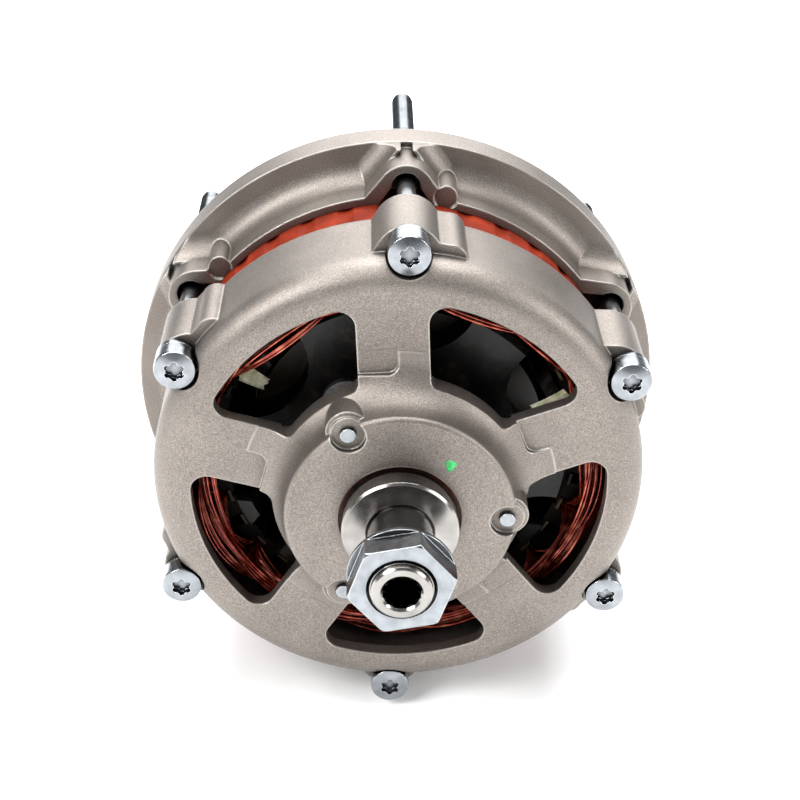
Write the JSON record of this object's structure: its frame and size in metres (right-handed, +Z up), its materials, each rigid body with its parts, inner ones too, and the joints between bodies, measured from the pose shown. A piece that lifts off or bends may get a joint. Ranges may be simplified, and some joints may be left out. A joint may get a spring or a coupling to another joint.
{
  "type": "alternator",
  "caption": "Compact flange-mounted claw-pole alternator with open windows over its windings, a round rear mounting flange with studs and a bare shaft end with a collar and nut.",
  "frame": {"origin": "point where the shaft axis meets the rear mounting face of the flange", "axes": "-Y runs forward along the shaft to the nut, +Z is up as the picture shows it, +X is to the right seen from the front"},
  "size_m": [0.153, 0.172, 0.153],
  "materials": {
    "cast_aluminium": "sand cast, satin",
    "core_paint": "orange-red insulating paint on laminations",
    "winding_enamel": "enamelled and resin-dipped copper wire",
    "insulation": "cream slot and bobbin insulation",
    "coil_wrap": "varnished wrap over the field coil",
    "sleeving": "dark woven sleeving",
    "zinc_steel": "bright zinc plate",
    "bearing_steel": "ground",
    "cage_brass": "pressed",
    "seal_rubber": "dark red-brown",
    "sheet_steel": "pressed sheet",
    "ground_steel": "ground and polished",
    "pole_iron": "dark dipped forging",
    "black_plastic": "moulded",
    "ring_copper": "turned copper",
    "sink_aluminium": "rolled plate",
    "diode_metal": "tinned",
    "carbon": "pressed carbon",
    "spring_steel": "drawn wire",
    "can_metal": "drawn can"
  },
  "bodies": {
    "stator_assembly": {"front_housing": "cast_aluminium", "rear_housing": "cast_aluminium", "stator_core": "core_paint", "phase_winding_u": "winding_enamel", "phase_winding_v": "winding_enamel", "phase_winding_w": "winding_enamel", "slot_wedges": "insulation", "phase_leads": "sleeving", "through_bolts": "zinc_steel", "bolt_washers": "zinc_steel", "front_bearing_outer_ring": "bearing_steel", "front_bearing_seals": "seal_rubber", "hub_seal": "seal_rubber", "bearing_retainer": "sheet_steel", "retainer_screws": "zinc_steel", "rear_bearing_outer_ring": "bearing_steel", "negative_heat_sink": "sink_aluminium", "positive_heat_sink": "sink_aluminium", "negative_diodes": "diode_metal", "positive_diodes": "diode_metal", "rectifier_pillars": "black_plastic", "rectifier_screws": "zinc_steel", "battery_terminal": "zinc_steel", "terminal_insulator": "black_plastic", "terminal_nut": "zinc_steel", "regulator": "black_plastic", "regulator_screws": "zinc_steel", "front_brush_spring": "spring_steel", "rear_brush_spring": "spring_steel", "suppressor": "can_metal", "suppressor_screw": "zinc_steel"},
    "rotor": {"shaft": "ground_steel", "front_claw_pole": "pole_iron", "rear_claw_pole": "pole_iron", "pole_core": "pole_iron", "coil_bobbin": "insulation", "field_coil": "coil_wrap", "slip_ring_sleeve": "black_plastic", "front_slip_ring": "ring_copper", "rear_slip_ring": "ring_copper", "spacer_collar": "ground_steel", "shaft_nut": "zinc_steel", "front_bearing_inner_ring": "bearing_steel", "rear_bearing_inner_ring": "bearing_steel"},
    "front_cage": {"front_bearing_cage": "cage_brass", "front_bearing_balls": "bearing_steel"},
    "rear_cage": {"rear_bearing_cage": "cage_brass", "rear_bearing_balls": "bearing_steel"},
    "front_brush_body": {"front_brush": "carbon"},
    "rear_brush_body": {"rear_brush": "carbon"}
  },
  "joints": [
    {"name": "rotor_spin", "type": "hinge", "parent": "stator_assembly", "child": "rotor", "pos_m": [0, 0, 0], "axis": [0, -1, 0], "continuous": true},
    {"name": "front_cage_spin", "type": "hinge", "parent": "stator_assembly", "child": "front_cage", "pos_m": [0, 0, 0], "axis": [0, -1, 0], "continuous": true},
    {"name": "rear_cage_spin", "type": "hinge", "parent": "stator_assembly", "child": "rear_cage", "pos_m": [0, 0, 0], "axis": [0, -1, 0], "continuous": true},
    {"name": "front_brush_slide", "type": "slide", "parent": "stator_assembly", "child": "front_brush_body", "axis": [0, 0, -1], "range_m": [0, 0.004], "stiffness_N_per_m": 120, "springref_m": -0.02, "deforming": ["front_brush_spring"]},
    {"name": "rear_brush_slide", "type": "slide", "parent": "stator_assembly", "child": "rear_brush_body", "axis": [0, 0, -1], "range_m": [0, 0.004], "stiffness_N_per_m": 120, "springref_m": -0.02, "deforming": ["rear_brush_spring"]}
  ],
  "couplings": [
    {"joint": "front_cage_spin", "follows": "rotor_spin", "ratio": 0.36875},
    {"joint": "rear_cage_spin", "follows": "rotor_spin", "ratio": 0.38}
  ]
}
